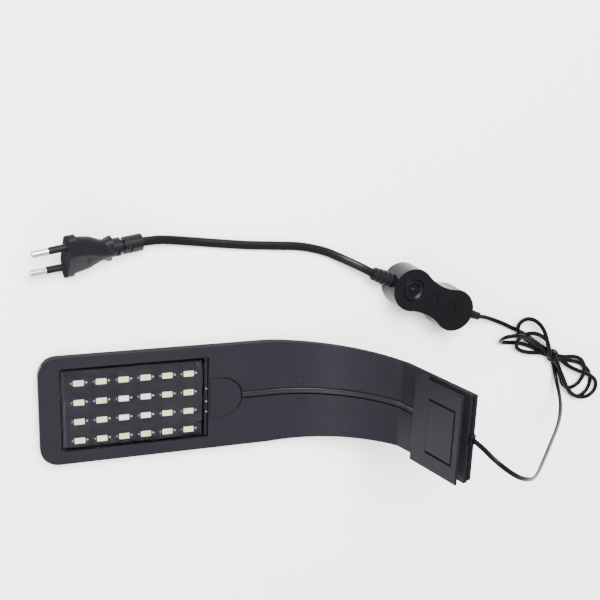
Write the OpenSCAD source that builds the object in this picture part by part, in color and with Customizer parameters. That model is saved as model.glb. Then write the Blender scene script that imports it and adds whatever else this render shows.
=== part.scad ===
// Clip-on LED aquarium light with an in-line push switch and a two-pin mains plug.
// The lamp lies on its back with its light side up, and its arm curves up to the clip.
// Units are millimetres. +Z is up from the table and +X runs from the head towards the clip.

/* [Lamp head] */
// Width of the flat head
head_w = 63.4; // [60:0.2:66]
// Length of the straight head, from its tip to the bend
head_l = 134; // [132:1:140]
// Thickness of the head
head_t = 8; // [8:0.5:10]
// Radius of the head's two outer corners
head_corner = 10.5; // [6:0.5:14]
// Wall thickness of both housing halves
wall = 1.6; // [1.4:0.1:1.8]

/* [Arm and clip] */
// Radius of the bend, on the light side
bend_r = 80; // [76:1:86]
// Angle of the long bend, in degrees
bend_a = 57; // [54:1:58]
// Radius of the tight bend before the clip, on the light side
kink_r = 5; // [5:1:8]
// Angle of the tight bend, in degrees
kink_a = 19; // [16:1:20]
// Length of the straight back of the clip
clip_l = 56; // [54:1:60]
// Width of the clip
clip_w = 52; // [50:1:54]
// Thickness of the clip's back
clip_t = 5.2; // [5:0.1:6]
// Gap for the tank's glass
glass_gap = 5; // [4.9:0.1:6]
// Thickness of the clip's front plate
plate_t = 1.8; // [1.6:0.1:2.2]
// Length of the clip's front plate
plate_l = 37.5; // [36:0.5:40]
// Length of the pressure tongue
tongue_l = 20; // [16:1:22]
// Width of the pressure tongue
tongue_w = 30; // [24:1:34]

/* [Light panel] */
// Length of the recess that holds the light panel
recess_l = 84.5; // [84:0.5:86]
// Width of the recess
recess_w = 49.4; // [49:0.2:52]
// Distance from the head's tip to the recess
recess_x = 11.6; // [11:0.2:13]
// Number of LEDs along the head
led_columns = 6; // [4:1:6]
// Number of LEDs across the head
led_rows = 4; // [2:1:4]
// Spacing of the LEDs along the head
led_pitch_x = 12.5; // [12:0.1:12.6]
// Spacing of the LEDs across the head
led_pitch_y = 11.5; // [10:0.5:12]

/* [In-line switch] */
// Radius of the switch case's two lobes
lobe_r = 13.1; // [12.4:0.1:14]
// Distance between the lobes' centres
lobe_gap = 32; // [30:1:36]
// Half of the case's width at its waist
waist = 10; // [9.5:0.1:10.5]
// Height of the switch case
case_h = 18; // [18:0.5:20]
// Diameter of the push button
button_d = 12.6; // [11:0.2:13]
// Travel of the push button
button_travel = 1.6; // [1:0.2:1.8]

/* [Cords and plug] */
// Width of the thin flat lead between the lamp and the switch
lead_w = 2.8; // [2.6:0.1:3]
// Thickness of the thin flat lead
lead_t = 1.8; // [1.6:0.1:2]
// Width of the flat mains cord
mains_w = 5.2; // [5:0.1:5.6]
// Thickness of the flat mains cord
mains_t = 3.2; // [3:0.1:3.4]
// Diameter of the plug's pins
pin_d = 4; // [4:0.1:4]
// Length of the plug's pins outside its face
pin_l = 19; // [19:0.5:19]
// Distance between the pins at the plug's face
pin_gap = 18.6; // [18:0.1:19]

/* [Hidden] */
$fn = 64;

charcoal = [0.16, 0.16, 0.18];
black = [0.07, 0.07, 0.08];
steel = [0.78, 0.78, 0.8];
tin = [0.85, 0.85, 0.87];
mask_black = [0.1, 0.1, 0.13];
warm_phosphor = [0.93, 0.9, 0.62];
white_phosphor = [0.97, 0.97, 0.97];

eps = 0.02;
big = 400;
floor_t = 1.8;
bend_steps = 20;
kink_steps = 6;

// ---- side view of the lamp: s runs along the light side from the head's tip ----
function arc_len(r, a) = r * a * PI / 180;
function clamp01(u) = min(max(u, 0), 1);
s_bend = head_l;
s_kink = s_bend + arc_len(bend_r, bend_a);
s_clip = s_kink + arc_len(kink_r, kink_a);
s_end = s_clip + clip_l;
s_plate = s_end - plate_l;
clip_a = bend_a + kink_a;

function turn(s) =
    s < s_bend ? 0 :
    s < s_kink ? (s - s_bend) / arc_len(bend_r, 1) :
    s < s_clip ? bend_a + (s - s_kink) / arc_len(kink_r, 1) : clip_a;
function bend_point(a) = [head_l + bend_r * sin(a), head_t + bend_r * (1 - cos(a))];
function kink_point(a) = bend_point(bend_a) + kink_r * [sin(a) - sin(bend_a), cos(bend_a) - cos(a)];
function light_point(s) =
    s < s_bend ? [s, head_t] :
    s < s_kink ? bend_point(turn(s)) :
    s < s_clip ? kink_point(turn(s)) : kink_point(clip_a) + (s - s_clip) * [cos(clip_a), sin(clip_a)];
// The side-view point at distance s and depth d below the light side
function at(s, d) = light_point(s) + d * [sin(turn(s)), -cos(turn(s))];
function taper(s) = clamp01((s - s_bend) / (s_clip - s_bend));
function thick(s) = head_t + (clip_t - head_t) * taper(s);
function half_w(s) = (head_w + (clip_w - head_w) * taper(s)) / 2;
stations = concat(
    [for (i = [0:bend_steps]) s_bend + (s_kink - s_bend) * i / bend_steps],
    [for (i = [1:kink_steps]) s_kink + (s_clip - s_kink) * i / kink_steps]);
function between(s0, s1) =
    concat([s0], [for (s = stations) if (s > s0 + 0.1 && s < s1 - 0.1) s], [s1]);
// The lamp's centre in the top view, which is the model's origin
lamp_x = at(s_end, clip_t)[0];
module placed() {
    translate([-lamp_x / 2, 0, 0]) children();
}
module on_panel() {
    placed() translate([0, recess_y, 0]) children();
}

// A band of the side view, w wide. Its top and bottom are [fraction of the thickness, extra depth].
module band(s0, s1, w, top = [0, 0], bottom = [1, 0]) {
    st = between(s0, s1);
    upper = [for (s = st) at(s, top[0] * thick(s) + top[1])];
    lower = [for (i = [len(st) - 1:-1:0]) at(st[i], bottom[0] * thick(st[i]) + bottom[1])];
    rotate([90, 0, 0]) linear_extrude(w, center = true) polygon(concat(upper, lower));
}
// Places its children on the light side, with their z axis pointing out of it
module on_light_side(s, y = 0, d = 0) {
    p = at(s, d);
    translate([p[0], y, p[1]]) rotate([0, -turn(s), 0]) children();
}
// The outline seen from above, drawn in by inset, as a tall prism
module plan(inset = 0) {
    r = head_corner - inset;
    y = head_w / 2 - head_corner;
    st = [for (s = stations) [at(s, thick(s) / 2)[0], half_w(s) - inset]];
    side = concat([[head_corner, head_w / 2 - inset]], st, [[big, clip_w / 2 - inset]]);
    translate([0, 0, -1]) linear_extrude(big / 2) {
        for (m = [-1, 1]) translate([head_corner, m * y]) circle(r);
        polygon(concat([[inset, y]], side,
            [for (i = [len(side) - 1:-1:0]) [side[i][0], -side[i][1]]], [[inset, -y]]));
    }
}

// ---- housing ----
parting = 0.5;
rib_w = 1.2;
rib_y = [4, 14.5];
stake_s = 151.7;
stake_y = 6.9;
groove_w = 4.6;
groove_d = 2.1;
cover_x = 96.9;
cover_r = 11.6;
cover_len = 7;
cover_rise = 0.9;
s_dive = s_plate + 3;
lead_depth = 2.5;

// The back shell is narrower than the cover, which overhangs it all round
overhang = 1;
module back_shell() {
    color(charcoal) placed() {
        difference() {
            intersection() {
                plan(overhang);
                band(0, s_end, 70, top = [parting, 0]);
            }
            intersection() {
                plan(overhang + wall);
                band(0, s_end + 1, 70, top = [parting - 0.2, 0], bottom = [1, -floor_t]);
            }
        }
        for (y = rib_y, m = [-1, 1]) translate([0, m * y, 0])
            band(s_end - 12, s_end, rib_w, top = [0, wall], bottom = [1, -floor_t + eps]);
        for (m = [-1, 1]) on_light_side(stake_s, m * stake_y, thick(stake_s) - floor_t + eps)
            cylinder(d = 4, h = thick(stake_s) - floor_t - wall);
    }
}

// The flat D-shaped pad where the arm's lead comes in
module d_shape(grow, h) {
    linear_extrude(h) {
        translate([cover_x - grow, -cover_r - grow]) square([cover_len + grow, 2 * (cover_r + grow)]);
        intersection() {
            translate([cover_x + cover_len, 0]) circle(cover_r + grow);
            translate([cover_x + cover_len, -30]) square([60, 60]);
        }
    }
}

// The panel sits a little off the middle of the head, and its LEDs towards one side of it
recess_y = 0.5;
led_y = -2;
tray_floor = 4.5;
tray_t = 1.4;
pocket_floor = 4.6;
window_top = 7.3;
module front_cover() {
    color(charcoal) placed() difference() {
        union() {
            difference() {
                intersection() {
                    plan();
                    band(0, s_end, 70, bottom = [parting, 0]);
                }
                intersection() {
                    plan(wall);
                    band(0, s_end + 1, 70, top = [0, wall], bottom = [parting + 0.2, 0]);
                }
            }
            translate([recess_x - tray_t, recess_y - recess_w / 2 - tray_t, tray_floor - tray_t])
                cube([recess_l + 2 * tray_t, recess_w + 2 * tray_t, head_t - 1 - tray_floor + tray_t]);
            translate([0, 0, pocket_floor - tray_t]) d_shape(0.4, head_t - 1 - pocket_floor + tray_t);
            band(cover_x + cover_len, s_dive + 2, groove_w + 2.4, top = [0, 1], bottom = [0, groove_d + 1]);
        }
        translate([recess_x, recess_y - recess_w / 2, tray_floor]) cube([recess_l, recess_w, head_t]);
        translate([0, 0, pocket_floor]) d_shape(-1.2, head_t);
        translate([recess_x + recess_l - 1, -10.5, board_top]) cube([5, 18, window_top - board_top]);
        band(cover_x + cover_len + cover_r - 2, s_dive - 1, groove_w, top = [0, -1], bottom = [0, groove_d]);
        band(s_dive - 5.5, s_dive, groove_w, top = [0, 0.3], bottom = [0, groove_d + 2]);
        band(s_dive - 1, s_dive + 3, groove_w, top = [0, wall], bottom = [0, groove_d + 2]);
        for (m = [-1, 1]) on_light_side(stake_s, m * stake_y, 0.3) difference() {
            cylinder(d = 5.8, h = 2);
            translate([0, 0, -1]) cylinder(d = 4.8, h = 4);
        }
    }
}

module wire_cover() {
    color(charcoal) placed() difference() {
        union() {
            translate([0, 0, head_t + eps]) d_shape(0, cover_rise);
            translate([0, 0, window_top]) d_shape(-1.3, head_t - window_top + 0.1);
        }
        translate([cover_x + cover_len, -groove_w / 2, head_t - 3]) cube([20, groove_w, 3.2]);
    }
}

// ---- light panel ----
board_t = 1.2;
tape_t = 0.3;
board_z = tray_floor + tape_t;
board_top = board_z + board_t;
led_h = 0.8;
led_size = [5.7, 3];
window_size = [4.9, 2.4];
window_h = 0.5;
seal_w = 1.3;
seal_h = 0.95;
lens_l = 81.8;
lens_t = 1;
clear = 0.4;
led_x0 = 22;
screw_spots = [[89.6, 20.2], [90.9, -16.4]];

// Puts its children at each LED's centre; $column and $row say which one it is
module each_led() {
    for ($column = [0:led_columns - 1], $row = [0:led_rows - 1])
        translate([led_x0 + $column * led_pitch_x,
                   led_y + ($row - (led_rows - 1) / 2) * led_pitch_y, board_top])
            children();
}
function in_middle(i, n) = i >= n / 2 - 1 && i <= n / 2;

module led_board() {
    color(mask_black) on_panel() difference() {
        translate([recess_x + clear, -recess_w / 2 + clear, board_z])
            cube([recess_l - 2 * clear, recess_w - 2 * clear, board_t]);
        for (p = screw_spots) translate([p[0], p[1], board_z - 1]) cylinder(d = 2.1, h = 4);
    }
}
module thermal_tape() {
    color("gainsboro") on_panel() difference() {
        translate([recess_x + 1, -recess_w / 2 + 1, tray_floor]) cube([recess_l - 2, recess_w - 2, tape_t]);
        for (p = screw_spots) translate([p[0], p[1], 0]) cylinder(d = 2.6, h = 10);
    }
}
module board_screws() {
    color(black) on_panel() for (p = screw_spots) translate([p[0], p[1], 0]) {
        translate([0, 0, tray_floor]) cylinder(d = 2, h = board_top - tray_floor + 0.1);
        translate([0, 0, board_top]) difference() {
            cylinder(d1 = 2.8, d2 = 2.2, h = 0.7);
            translate([-0.25, -1, 0.4]) cube([0.5, 2, 1]);
            translate([-1, -0.25, 0.4]) cube([2, 0.5, 1]);
        }
    }
}
module led_bodies() {
    color("white") on_panel() each_led() difference() {
        translate([-led_size[0] / 2, -led_size[1] / 2, 0]) cube([led_size[0], led_size[1], led_h]);
        translate([-window_size[0] / 2, -window_size[1] / 2, led_h - window_h])
            cube([window_size[0], window_size[1], 1]);
    }
}
module led_window() {
    translate([-window_size[0] / 2, -window_size[1] / 2, led_h - window_h])
        cube([window_size[0], window_size[1], window_h - 0.05]);
}
module led_windows_warm() {
    color(warm_phosphor) on_panel() each_led()
        if (!(in_middle($column, led_columns) && in_middle($row, led_rows))) led_window();
}
module led_windows_white() {
    color(white_phosphor) on_panel() each_led()
        if (in_middle($column, led_columns) && in_middle($row, led_rows)) led_window();
}
// Small solder points beside each LED, and the three joints of the lead's wires
joint_x = 95.1;
joint_y = [5, -3, -9.3];
module solder_pads() {
    color(tin) on_panel() {
        each_led() {
            translate([led_size[0] / 2 + 1.5, 0, 0]) cylinder(d1 = 1.1, d2 = 0.6, h = 0.25, $fn = 24);
            translate([-led_size[0] / 2 - 1.2, 0, 0]) cylinder(d = 0.6, h = 0.1, $fn = 24);
        }
        for (y = joint_y) translate([joint_x, y, board_top]) cylinder(d1 = 1.3, d2 = 0.7, h = 0.6, $fn = 24);
    }
}
module lens_seal() {
    color(black) on_panel() translate([recess_x + clear, -recess_w / 2 + clear, board_top]) difference() {
        cube([lens_l, recess_w - 2 * clear, seal_h]);
        translate([seal_w, seal_w, -1])
            cube([lens_l - 2 * seal_w, recess_w - 2 * clear - 2 * seal_w, seal_h + 2]);
    }
}
module lens() {
    color("lightsteelblue", 0.4) on_panel()
        translate([recess_x + clear, -recess_w / 2 + clear, board_top + seal_h])
            cube([lens_l, recess_w - 2 * clear, lens_t]);
}

// ---- lead inside the lamp ----
core_d = 1.2;
s_pad = cover_x + cover_len + 2;
core_z = board_top + 0.65;
// From the lead in the pocket to the outer two solder joints on the board
module core_wires() {
    color("firebrick") placed() for (m = [-1, 1]) {
        y = recess_y + (m > 0 ? joint_y[0] : joint_y[2]);
        tube([[s_pad, m * 0.7, core_z], [s_pad - 4, 0.3 * y + m * 0.6, core_z],
              [joint_x + 3.5, 0.9 * y, core_z],
              [joint_x + 0.8, y, core_z]], 2, core_d, core_d, [0, 1, 0]);
    }
}
module arm_lead() {
    color(black) placed() {
        band(s_pad, s_dive - 1, lead_w, top = [0, 0.15], bottom = [0, 0.15 + lead_t]);
        band(s_dive - 3, s_dive - 1, lead_w, top = [0, 0.4], bottom = [0, lead_depth + lead_t / 2]);
        band(s_dive - 1 - eps, s_end + 2, lead_w,
            top = [0, lead_depth - lead_t / 2], bottom = [0, lead_depth + lead_t / 2]);
    }
}
gland_w = 5.6;
module cord_gland() {
    color(black) placed() difference() {
        union() {
            band(s_end - 8, s_end + 2, gland_w, top = [0, wall + 0.05], bottom = [1, -floor_t - 0.05]);
            band(s_end - 5, s_end - 3, 6.4, top = [0, wall + 0.05], bottom = [1, -floor_t - 0.05]);
            band(s_end + 0.1, s_end + 2, gland_w, top = [0, 0.7], bottom = [0, 4.3]);
        }
        band(s_end - 9, s_end + 3, lead_w,
            top = [0, lead_depth - lead_t / 2], bottom = [0, lead_depth + lead_t / 2]);
    }
}

// ---- clip ----
wall_l = 5;
slot = 1.3;
bevel = 1;
hinge_r = plate_t / 2;
hinge_clear = 0.08;
s_hinge = s_plate + 12.5;
module clip_wall() {
    color(charcoal) placed()
        band(s_plate, s_plate + wall_l, clip_w - 0.6, top = [0, -glass_gap + 0.01], bottom = [0, -0.01]);
}
module clip_plate() {
    w = clip_w - 0.1;
    color(charcoal) placed() difference() {
        on_light_side(s_plate, 0, -glass_gap) translate([0, -w / 2, 0]) rotate([90, 0, 90])
            linear_extrude(plate_l)
                polygon([[0, 0], [w, 0], [w, plate_t - bevel], [w - bevel, plate_t],
                         [bevel, plate_t], [0, plate_t - bevel]]);
        on_light_side(s_end, 0, -glass_gap - plate_t) rotate([0, 25, 0])
            translate([-5, -40, 0]) cube([10, 80, 5]);
        on_light_side(s_end, 0, -glass_gap) rotate([0, -40, 0])
            translate([-5, -40, -5]) cube([10, 80, 5]);
        on_light_side(s_hinge, 0, -glass_gap - hinge_r) {
            rotate([90, 0, 0]) cylinder(r = hinge_r + hinge_clear, h = tongue_w + 2 * slot, center = true);
            translate([0, -tongue_w / 2 - slot, -5])
                cube([tongue_l + slot, tongue_w + 2 * slot, 10]);
        }
    }
}
module pressure_tongue() {
    color(charcoal) placed() on_light_side(s_hinge, 0, -glass_gap - hinge_r) {
        rotate([90, 0, 0]) cylinder(r = hinge_r, h = tongue_w, center = true);
        translate([0, -tongue_w / 2, -hinge_r]) cube([tongue_l, tongue_w, plate_t]);
    }
}

// ---- cords: a flat tube swept along points chosen by hand ----
function unit(v) = v / norm(v);
function spline(p, i, t) =
    let (a = p[max(i - 1, 0)], b = p[i], c = p[i + 1], d = p[min(i + 2, len(p) - 1)])
    0.5 * (2 * b + (c - a) * t + (2 * a - 5 * b + 4 * c - d) * t * t + (3 * b - a - 3 * c + d) * t * t * t);
function smooth(p, n) = concat([for (i = [0:len(p) - 2], k = [0:n - 1]) spline(p, i, k / n)],
                               [p[len(p) - 1]]);
function tangent(p, i) = unit(p[min(i + 1, len(p) - 1)] - p[max(i - 1, 0)]);
function square_to(n, t) = unit(n - (n * t) * t);
function sides(p, first) =
    [for (i = 0, n = square_to(first, tangent(p, 0)); i < len(p);
          i = i + 1, n = square_to(n, tangent(p, min(i, len(p) - 1)))) n];
module tube(route, n, w, t, first, facets = 8) {
    p = smooth(route, n);
    side = sides(p, first);
    rings = [for (i = [0:len(p) - 1], k = [0:facets - 1])
        let (a = 360 * (k + 0.5) / facets)
        p[i] + w / 2 * cos(a) * side[i] + t / 2 * sin(a) * cross(tangent(p, i), side[i])];
    quads = [for (i = [0:len(p) - 2], k = [0:facets - 1])
        [i * facets + k, i * facets + (k + 1) % facets,
         (i + 1) * facets + (k + 1) % facets, (i + 1) * facets + k]];
    last = (len(p) - 1) * facets;
    polyhedron(rings, concat(
        [for (q = quads) [q[0], q[2], q[1]]], [for (q = quads) [q[0], q[3], q[2]]],
        [[for (k = [0:facets - 1]) k]], [[for (k = [facets - 1:-1:0]) last + k]]));
}

// The thin lead leaves the clip upwards, arches over and falls to the table
exit_s = s_end + 2;
exit_xz = at(exit_s, lead_depth);
lead_route_a = [
    [exit_xz[0], 0, exit_xz[1]], [220.5, -2, 108], [223.5, -5.5, 113.5], [228, -9.5, 117],
    [234, -14, 118], [241, -18.5, 116], [249, -22.5, 111.5], [257, -26, 105], [266, -28, 96],
    [276, -29, 85], [288, -29, 72], [300, -28.5, 59], [312, -28, 46], [323, -26.5, 33],
    [331.5, -23.5, 21], [336.5, -19, 11], [337.5, -12.5, 5], [335.5, -6.5, 4], [333.5, -0.5, 4]
];
// It leaves its bundle and runs along the table to the switch
lead_route_b = [
    [276, 36.8, 7], [281, 34.9, 4.8], [287, 32.4, 2.8], [294, 29.5, 2.2], [300, 26.5, 2.4]
];
// The mains cord, from the switch along the table to the plug
mains_route = [
    [189, 73.7, 7.8], [182.5, 76.7, 5.6], [176, 79.6, 3.6], [166, 83.6, 2.1], [152, 86.8, 1.8],
    [136, 88, 1.8], [120, 89, 1.8], [104, 90.6, 1.8], [90, 92.2, 1.9], [79, 93.6, 2.7], [68, 94.9, 4.7]
];
flat = [0, 1, 0];

module dc_cord_a() {
    color(black) placed() tube(lead_route_a, 2, lead_w, lead_t + 0.4, flat);
}
module dc_cord_b() {
    color(black) placed() tube(concat([[relief_dc_end[0], relief_dc_end[1], relief_z]], lead_route_b),
        2, lead_w, lead_t + 0.4, flat);
}
module ac_cord() {
    color(black) placed() tube(concat([[relief_ac_end[0], relief_ac_end[1], relief_z]],
                                      mains_route, [plug_cord_end]),
        2, mains_w, mains_t, flat, 12);
}

// The folded bundle: loops on both sides of a tie
hank_h = 8;
tie_x = 333;
tie_y = 5;
tie_a = -28;
module pad(p0, r0, p1, r1) {
    hull() {
        translate(p0) circle(r0, $fn = 32);
        translate(p1) circle(r1, $fn = 32);
    }
}
module at_tie() {
    translate([tie_x, tie_y, 0]) rotate(tie_a) children();
}
module dc_hank() {
    color(black) placed() difference() {
        linear_extrude(hank_h) {
            pad([331, 6.5], 4.5, [304, 20.5], 10.5);
            pad([335, 3], 4.5, [358, -14.5], 14);
        }
        at_tie() translate([-1.6, -10, 0]) difference() {
            translate([0, 0, -1]) cube([3.2, 20, hank_h + 2]);
            translate([-1, 6.6, 0.9]) cube([6, 6.8, hank_h - 1.8]);
        }
    }
}
module hank_tie() {
    color(black) placed() at_tie() translate([-1.5, -4.4, 0.05]) difference() {
        cube([3, 8.8, hank_h - 0.1]);
        translate([-1, 1, 0.85]) cube([6, 6.8, hank_h - 1.8]);
    }
}

// ---- in-line switch ----
switch_x = 219.4;
switch_y = 60.7;
switch_a = -27;
case_wall = 1.8;
case_part = 9;
relief_z = 9;
// The two cords leave the lobes along their radii, a little off the case's axis
relief_ac_a = 5;
relief_dc_a = 8;
relief_ac_r = 26;
relief_dc_r = 25;
relief_hole_d = 6.2;
pcb_z = 5;
pcb_t = 1.2;
pcb_top = pcb_z + pcb_t;
boss_x = [11.2, 36];
button_hole_d = button_d + 0.8;
button_top = case_h + 0.6;
button_flange_z = 14.4;
button_flange_t = 1.3;
latch_top = 11;

ac_dir = [cos(switch_a + relief_ac_a), sin(switch_a + relief_ac_a)];
dc_dir = [cos(switch_a + relief_dc_a), sin(switch_a + relief_dc_a)];
relief_ac_end = [switch_x, switch_y] - relief_ac_r * ac_dir;
relief_dc_end = [switch_x, switch_y] + lobe_gap * [cos(switch_a), sin(switch_a)] + relief_dc_r * dc_dir;
module at_switch() {
    placed() translate([switch_x, switch_y, 0]) rotate(switch_a) children();
}
// Each points along its relief, out of the case, from the middle of its lobe
module along_ac() {
    rotate(180 + relief_ac_a) children();
}
module along_dc() {
    translate([lobe_gap, 0, 0]) rotate(relief_dc_a) children();
}
// The waisted outline: two lobes joined by arcs that touch them
// The waist crosses the lobes in a faint crease, not in an exact touch
crease = 0.12;
module case_outline(inset) {
    r = lobe_r - inset;
    half = lobe_gap / 2;
    waist_r = (half * half + waist * waist - lobe_r * lobe_r) / (2 * (lobe_r - waist));
    reach = waist_r + lobe_r;
    touch_x = lobe_r * half / reach;
    touch_y = r * (waist + waist_r) / reach;
    for (x = [0, lobe_gap]) translate([x, 0]) circle(r);
    difference() {
        translate([touch_x, -touch_y]) square([lobe_gap - 2 * touch_x, 2 * touch_y]);
        for (m = [-1, 1]) translate([half, m * (waist + waist_r)])
            circle(waist_r + inset + crease, $fn = 128);
    }
}
module relief_holes() {
    along_ac() translate([lobe_r - 4, 0, relief_z]) rotate([0, 90, 0]) cylinder(d = relief_hole_d, h = 6);
    along_dc() translate([lobe_r - 4, 0, relief_z]) rotate([0, 90, 0]) cylinder(d = 4.6, h = 6);
}
module switch_base() {
    color(charcoal) at_switch() difference() {
        union() {
            difference() {
                linear_extrude(case_part) case_outline(0);
                translate([0, 0, case_wall]) linear_extrude(case_h) case_outline(case_wall);
            }
            for (x = boss_x) translate([x, 0, case_wall - eps]) cylinder(d = 5, h = case_part - case_wall);
            for (x = [-6, 22, 30], m = [-1, 1]) translate([x, m * 5, case_wall - eps])
                cylinder(d = 2.4, h = pcb_z - case_wall);
        }
        relief_holes();
        for (x = boss_x) translate([x, 0, 0]) {
            translate([0, 0, -1]) cylinder(d = 2.7, h = 20);
            translate([0, 0, -1]) cylinder(d = 4, h = 3.2);
        }
    }
}
module switch_lid() {
    color(black) at_switch() difference() {
        union() {
            difference() {
                translate([0, 0, case_part]) linear_extrude(case_h - case_part) case_outline(0);
                translate([0, 0, case_part - 1]) linear_extrude(case_h - case_part - case_wall + 1)
                    case_outline(case_wall);
            }
            for (x = boss_x) translate([x, 0, case_part])
                cylinder(d = 5, h = case_h - case_part - case_wall + eps);
        }
        relief_holes();
        translate([0, 0, case_part]) cylinder(d = button_hole_d + 1.2, h = case_h);
        for (x = boss_x) translate([x, 0, case_part - 1]) cylinder(d = 1.7, h = 7);
        translate([13.4, 0, case_h - 0.7]) cylinder(d = 10.4, h = 2);
        translate([27.6, 0, case_h - 0.7]) cylinder(d = 9, h = 2);
    }
}
module button_collar() {
    color(black) at_switch() translate([0, 0, case_h - case_wall]) difference() {
        union() {
            cylinder(d = button_hole_d + 1.2, h = case_wall + 0.3);
            translate([0, 0, -0.5]) cylinder(d = button_hole_d + 3, h = 0.5);
        }
        translate([0, 0, -1]) cylinder(d = button_hole_d, h = 5);
    }
}
module push_button() {
    cap_z = button_flange_z + button_flange_t;
    color(black) at_switch() difference() {
        union() {
            translate([0, 0, button_flange_z]) cylinder(d = button_d + 1.6, h = button_flange_t - 0.1);
            translate([0, 0, cap_z - 0.2]) cylinder(d = button_d, h = button_top - cap_z + 0.2 - 0.4);
            translate([0, 0, button_top - 0.4]) cylinder(d1 = button_d, d2 = button_d - 0.8, h = 0.4);
        }
        difference() {
            translate([0, 0, button_top + 17.4]) sphere(r = 18, $fn = 96);
            translate([0, 0, button_top - 2]) cylinder(d1 = 5, d2 = 3.4, h = 2);
        }
        translate([0, 0, button_flange_z - 1]) cylinder(d = 3.1, h = 2.5);
    }
}
module switch_plunger() {
    color("ivory") at_switch() translate([0, 0, latch_top + 0.1]) {
        cylinder(d = 3, h = button_flange_z + 1.4 - latch_top - 0.1);
    }
}
spring_turns = 3;
spring_r = 3.6;
spring_wire = 0.6;
spring_steps = 14;
module button_spring() {
    low = latch_top + spring_wire / 2 + 0.02;
    high = button_flange_z - spring_wire / 2 - 0.02;
    n = spring_turns * spring_steps;
    coil = [for (i = [0:n]) [spring_r * cos(360 * i / spring_steps), spring_r * sin(360 * i / spring_steps),
        low + (high - low) * i / n]];
    color(steel) at_switch() tube(coil, 1, spring_wire, spring_wire, [1, 0, 0], 6);
}
module latch_switch() {
    color("dimgray") at_switch() difference() {
        union() {
            translate([-4.25, -4.25, pcb_top]) cube([8.5, 8.5, latch_top - pcb_top - 0.6]);
            translate([0, 0, latch_top - 0.7]) cylinder(d = 8, h = 0.7);
        }
        translate([0, 0, latch_top - button_travel - 0.4]) cylinder(d = 3.3, h = 4);
    }
}
module driver_board() {
    color("darkgreen") at_switch() difference() {
        translate([0, 0, pcb_z]) linear_extrude(pcb_t) intersection() {
            case_outline(case_wall + 0.4);
            translate([-8, -15]) square([48.4, 30]);
        }
        for (x = boss_x) translate([x, 0, 0]) cylinder(d = 5.6, h = 20);
    }
}
module driver_transformer() {
    color("gold") at_switch() {
        translate([17, -6, pcb_top]) cube([9.5, 12, 2]);
        translate([18.2, -4.4, pcb_top + 2 - eps]) cube([7.1, 8.8, 4.6]);
        translate([17, -6, pcb_top + 6.5]) cube([9.5, 12, 1.8]);
    }
}
module driver_capacitor() {
    color("navy") at_switch() translate([30.6, 5, pcb_top]) {
        cylinder(d = 5.6, h = 8.4);
        translate([0, 0, 8.4 - eps]) cylinder(d1 = 5.6, d2 = 4.8, h = 0.5);
    }
}
module driver_bridge() {
    color("black") at_switch() translate([28.8, -6.8, pcb_top]) cube([4.8, 4, 1.6]);
}
module driver_fuse() {
    color("brown") at_switch() translate([15.4, 0, pcb_top + 1.3]) rotate([90, 0, 0])
        cylinder(d = 2.4, h = 8, center = true);
}
wire_d = 1.1;
ac_neck_l = case_wall + 1.1;
dc_neck_l = case_wall + 0.7;
// Each wire leaves its relief flat and turns down to the board
module switch_wire(x_relief, x_board, y) {
    z = relief_z;
    translate([x_board, y, pcb_top]) cylinder(d = wire_d, h = z - pcb_top, $fn = 24);
    translate([x_board, y, z]) sphere(d = wire_d, $fn = 24);
    translate([min(x_relief, x_board), y, z]) rotate([0, 90, 0])
        cylinder(d = wire_d, h = abs(x_relief - x_board), $fn = 24);
}
module switch_wires() {
    color("saddlebrown") at_switch() for (m = [-1, 1]) {
        along_ac() switch_wire(lobe_r + 0.1 - ac_neck_l - 1.2, 7, m * 1.2);
        along_dc() switch_wire(lobe_r + 0.1 - dc_neck_l - 1.2, 7.2, m * 0.9);
    }
}
module case_screws() {
    color(steel) at_switch() for (x = boss_x) translate([x, 0, 0]) {
        difference() {
            translate([0, 0, 0.8]) cylinder(d = 3.8, h = 1.4);
            translate([-1.2, -0.25, 0]) cube([2.4, 0.5, 1.3]);
            translate([-0.25, -1.2, 0]) cube([0.5, 2.4, 1.3]);
        }
        translate([0, 0, 2]) cylinder(d = 1.7, h = 12.4);
    }
}
// A ribbed, tapered relief that points along +X, with a neck that the case holds
module ribbed_relief(r0, r1, length, ribs, neck_d, neck_l, flange_d) {
    pitch = length / ribs;
    groove = 0.9;
    rotate([0, 90, 0]) rotate_extrude() polygon(concat(
        [[0, -neck_l - 1.2], [flange_d / 2, -neck_l - 1.2], [flange_d / 2, -neck_l],
         [neck_d / 2, -neck_l], [neck_d / 2, 0]],
        [for (i = [0:ribs - 1]) let (r = r0 + (r1 - r0) * i / ribs, z = i * pitch)
            each [[r, z], [r, z + pitch - 1], [r - groove, z + pitch - 1], [r - groove, z + pitch]]],
        [[0, length]]));
}
module ac_relief() {
    color(black) at_switch() along_ac() translate([lobe_r + 0.1, 0, relief_z])
        ribbed_relief(4.8, 3.8, relief_ac_r - lobe_r - 0.1, 4, relief_hole_d - 0.1, ac_neck_l, 7.4);
}
module dc_relief() {
    color(black) at_switch() along_dc() translate([lobe_r + 0.1, 0, relief_z])
        ribbed_relief(3, 2.3, relief_dc_r - lobe_r - 0.1, 4, 4.5, dc_neck_l, 5.4);
}

// ---- plug ----
plug_pos = [16.4, 89.5, 12.9];
plug_yaw = 7;
plug_tilt = 9;
plug_roll = 43;
face_w = 35;
face_t = 13.4;
flange_l = 3.6;
plug_l = 25;
relief_l = 17;
pin_toe = 1.8;
sleeve_l = 10;
dir = [cos(plug_yaw) * cos(plug_tilt), sin(plug_yaw) * cos(plug_tilt), -sin(plug_tilt)];
plug_cord_end = plug_pos + (plug_l + relief_l) * dir;
module at_plug() {
    placed() translate(plug_pos) rotate([0, 0, plug_yaw]) rotate([0, plug_tilt, 0]) rotate([plug_roll, 0, 0])
        children();
}
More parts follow.
